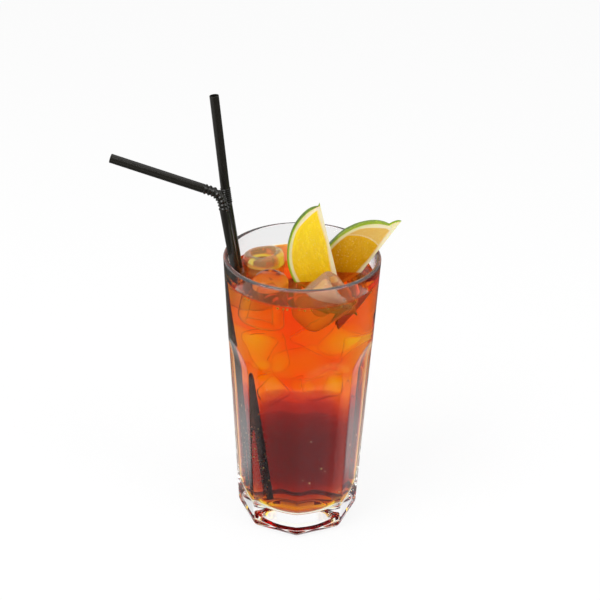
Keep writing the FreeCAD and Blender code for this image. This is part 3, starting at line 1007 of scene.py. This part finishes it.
tumbler = build_tumbler()
pattern = cube_pattern()
poking = [melted(node_copy(node, node + "_melted")) for node in ICE_NODES]
sunk = [sunk_cube(pattern, k, *place) for k, place in enumerate(SUNK_ICE)]
bpy.data.objects.remove(pattern)
tea = build_drink(poking)
red_tea = build_red_tea(poking, sunk)
bubbles = build_bubbles()
glow_layer = build_glow_layer(poking)
clouds = [build_cola_cloud(k) for k in range(COLA_LAYERS)]
straw_bent = build_straw("bent_straw", BENT_STRAW)
straw_straight = build_straw("straight_straw", STRAIGHT_STRAW)
wedge_front = build_wedge("front_wedge", FRONT_WEDGE)
wedge_back = build_wedge("back_wedge", BACK_WEDGE)
place_wedge(wedge_back, BACK_WEDGE, back_middle())
place_wedge(wedge_front, FRONT_WEDGE, back_middle() + FRONT_FROM_BACK)

glass_mat = clear_material("clear_glass", GLASS_IOR, glint=0.3)
# painted highlight and reflection: the rim's faint cloud paints its pale lines, and the panels' fainter cloud
# paints a pale veil of the mirrored surroundings
rim_glass = clear_material("rim_glass", GLASS_IOR, glint=0.8, cloud=0.08)
panel_glass = clear_material("panel_glass", GLASS_IOR, glint=0.3, cloud=0.015)
wet_glass = clear_material("wet_glass", GLASS_IOR, glint=0.08, wave_depth=0.0)
tea_mat = clear_material("amber_tea", TEA_IOR, glint=0.15, wave_depth=0.0, absorb=(0.2, 5, 260))
red_mat = clear_material("red_tea", NO_BEND, wave_depth=0.0, absorb=(0.5, 32, 155))
cola_mat = clear_material("dark_cola", NO_BEND, wave_depth=0.0,
                          absorb=(36 / COLA_LAYERS, 91 / COLA_LAYERS, 56 / COLA_LAYERS))
# painted glow: the poking cubes' cloudy yellow and peach tints stand for the lit tea seen through clear ice
pale_ice = ice_material("pale_ice", 0.20, (1, 0.86, 0.48))
amber_ice = ice_material("amber_ice", 0.03, (0.94, 0.62, 0.38))
peach_ice = ice_material("peach_ice", 0.24, (1, 0.74, 0.48))
sunk_mat = clear_material("sunk_ice", SUNK_ICE_IOR, glint=0.05, wave_scale=160, wave_depth=0.05)
# painted glow: a cloudy orange layer under the drink's surface
glow_layer_mat = clear_material("painted_glow_layer", NO_BEND, wave_depth=0.0, cloud=0.10, tint=(1.0, 0.42, 0.05))
# painted highlight: the bubbles are a cloudy gold, which paints the light they catch
bubble_mat = clear_material("bubble", NO_BEND, roughness=0.1, wave_depth=0.0, cloud=0.75,
                            tint=(1.0, 0.80, 0.45))
# painted glow: the dome cube's top is tinted orange for the tea seen through it
painted_glow_above_level(amber_ice)
black = straw_material()
# painted shade: the back wedge wears a darker, more orange copy of the front wedge's flesh colours
yellow = lime_material("lime_front", (0.92, 0.67, 0.020), (0.80, 0.47, 0.003))
amber = lime_material("lime_back", (0.72, 0.41, 0.003), (0.60, 0.24, 0.001))

for obj, mat in ((tumbler, glass_mat), (tea, tea_mat), (red_tea, red_mat), (glow_layer, glow_layer_mat),
                 (bubbles, bubble_mat), (straw_bent, black), (straw_straight, black),
                 (wedge_front, yellow), (wedge_back, amber)):
    finish_in(obj, mat)
for obj in clouds:
    finish_in(obj, cola_mat)
    settle(obj)
for obj, mat in zip(poking, (pale_ice, amber_ice, peach_ice)):
    finish_in(obj, mat)
for obj in sunk:
    finish_in(obj, sunk_mat)
for mat in (wet_glass, rim_glass, panel_glass):
    tumbler.data.materials.append(mat)
for face in tumbler.data.polygons:
    c = face.center
    r = math.hypot(c.x, c.y)
    if BASE_THICKNESS - 0.1 * MM < c.z < DRINK_LEVEL + 0.3 * MM and r < cavity_radius(c.z) + 0.5 * MM:
        face.material_index = 1
    elif c.z > GLASS_HEIGHT - 1.8 * MM:
        face.material_index = 2
    elif BASE_THICKNESS < c.z < PANEL_TOP and r > cavity_radius(c.z) + 0.5 * MM:
        face.material_index = 3

settle(tumbler, "glass")
settle(tea, "drink")
settle(red_tea)
settle(glow_layer)
settle(bubbles)
settle(straw_bent, "straw_bent")
settle(straw_straight, "straw_straight")
settle(wedge_front, "lime_wedge_front")
settle(wedge_back, "lime_wedge_back")
for obj, node in zip(poking, ICE_NODES):
    settle(obj, node)
for obj in sunk:
    settle(obj)


# ---------------------------------------------------------------- stage

def build_floor():
    """Pale floor: white to the eye and through glass, and mirrored bright only close round the glass."""
    deselect_all()
    bpy.ops.mesh.primitive_plane_add(size=6.0, location=(0, 0, 0))
    floor = bpy.context.object
    floor.name = "floor"
    mat, nodes, links, shader = new_material("pale_floor")
    shader.inputs["Base Color"].default_value = (0.92, 0.92, 0.92, 1)
    shader.inputs["Roughness"].default_value = 0.6
    path = nodes.new("ShaderNodeLightPath")
    white = nodes.new("ShaderNodeEmission")
    mirrored = nodes.new("ShaderNodeEmission")
    here = nodes.new("ShaderNodeTexCoord").outputs["Object"]
    place = nodes.new("ShaderNodeSeparateXYZ")
    links.new(here, place.inputs[0])
    distance = nodes.new("ShaderNodeVectorMath")
    distance.operation = "LENGTH"
    links.new(here, distance.inputs[0])
    behind = ramp_of(nodes, links, place.outputs["Y"], [(0.0, (0, 0, 0)), (0.025, (1, 1, 1))])
    close = ramp_of(nodes, links, distance.outputs["Value"],
                    [(0.11, (1, 1, 1)), (0.20, (0.15, 0.15, 0.15)), (0.24, (0.06, 0.06, 0.06))])
    sheet = ramp_of(nodes, links, place.outputs["X"],
                    [(-0.36, (0.42, 0.42, 0.42)), (-0.22, (0.023, 0.023, 0.023))])
    beside = ramp_of(nodes, links, place.outputs["X"], [(0.005, (0, 0, 0)), (0.02, (0.42, 0.38, 0.44))])
    lit = mixed(nodes, links, 1.0, mixed(nodes, links, 1.0, behind, beside, "LIGHTEN"), close, "MULTIPLY")
    links.new(mixed(nodes, links, 1.0, lit, sheet, "ADD"), mirrored.inputs["Color"])
    last = shader.outputs[0]
    for ray, share, glow in (("Is Glossy Ray", 0.95, mirrored), ("Is Transmission Ray", 0.85, white),
                             ("Is Camera Ray", 0.86, white)):
        scale = nodes.new("ShaderNodeMath")
        scale.operation = "MULTIPLY"
        scale.inputs[1].default_value = share
        links.new(path.outputs[ray], scale.inputs[0])
        mix = nodes.new("ShaderNodeMixShader")
        links.new(scale.outputs[0], mix.inputs[0])
        links.new(last, mix.inputs[1])
        links.new(glow.outputs[0], mix.inputs[2])
        last = mix.outputs[0]
    links.new(last, nodes["Material Output"].inputs["Surface"])
    floor.data.materials.append(mat)


def build_world():
    """White studio all round, dimmer in front and part of the way up where it is only mirrored."""
    world = bpy.data.worlds.new("studio")
    bpy.context.scene.world = world
    world.use_nodes = True
    nodes = world.node_tree.nodes
    links = world.node_tree.links
    plain = nodes["Background"]
    plain.inputs["Color"].default_value = (1, 1, 1, 1)
    plain.inputs["Strength"].default_value = 0.7
    path = nodes.new("ShaderNodeLightPath")
    split = nodes.new("ShaderNodeSeparateXYZ")
    links.new(nodes.new("ShaderNodeTexCoord").outputs["Generated"], split.inputs[0])
    ahead = ramp_of(nodes, links, split.outputs["Y"],
                    [(-0.75, (0.10, 0.10, 0.11)), (-0.15, (0.45, 0.45, 0.46)), (0.15, (1, 1, 1))])
    above = ramp_of(nodes, links, split.outputs["Z"],
                    [(0.20, (0.8, 0.8, 0.8)), (0.40, (0.12, 0.12, 0.12)),
                     (0.62, (0.15, 0.15, 0.15)), (0.80, (1, 1, 1))])
    mirrored = nodes.new("ShaderNodeBackground")
    links.new(mixed(nodes, links, 1.0, ahead, above, "MULTIPLY"), mirrored.inputs["Color"])
    white = nodes.new("ShaderNodeBackground")
    white.inputs["Color"].default_value = (1, 1, 1, 1)
    last = plain.outputs[0]
    for ray, back in (("Is Glossy Ray", mirrored), ("Is Transmission Ray", white), ("Is Camera Ray", white)):
        mix = nodes.new("ShaderNodeMixShader")
        links.new(path.outputs[ray], mix.inputs[0])
        links.new(last, mix.inputs[1])
        links.new(back.outputs[0], mix.inputs[2])
        last = mix.outputs[0]
    links.new(last, nodes["World Output"].inputs["Surface"])


def area_light(name, place, aim, size, power):
    data = bpy.data.lights.new(name, "AREA")
    data.shape = "RECTANGLE"
    data.size, data.size_y = size
    data.energy = power
    lamp = bpy.data.objects.new(name, data)
    bpy.context.scene.collection.objects.link(lamp)
    lamp.location = place
    lamp.rotation_euler = (Vector(aim) - Vector(place)).to_track_quat("-Z", "Y").to_euler()


def build_camera():
    """The camera looks slightly down at the front, and is rolled a little."""
    data = bpy.data.cameras.new("camera")
    data.sensor_width = 36.0
    data.lens = LENS
    data.clip_start = 0.01
    camera = bpy.data.objects.new("camera", data)
    bpy.context.scene.collection.objects.link(camera)
    ahead = Vector((0, math.cos(LOOK_DOWN), -math.sin(LOOK_DOWN)))
    right = Vector((1, 0, 0))
    up = right.cross(ahead)
    tilted_right = right * math.cos(ROLL) + up * math.sin(ROLL)
    tilted_up = up * math.cos(ROLL) - right * math.sin(ROLL)
    m = Matrix((tilted_right, tilted_up, -ahead)).transposed().to_4x4()
    camera.matrix_world = Matrix.Translation(AIM - ahead * CAMERA_REACH) @ m
    bpy.context.scene.camera = camera


build_floor()
build_world()
area_light("key", (-0.6, -0.5, 1.1), (0, 0, 0.1), (0.7, 0.7), 9)
area_light("fill", (0.8, -0.4, 0.7), (0, 0, 0.1), (0.6, 0.9), 4)
build_camera()

scene = bpy.context.scene
scene.view_settings.view_transform = "Standard"
scene.cycles.max_bounces = 64
scene.cycles.transmission_bounces = 64
scene.cycles.glossy_bounces = 8
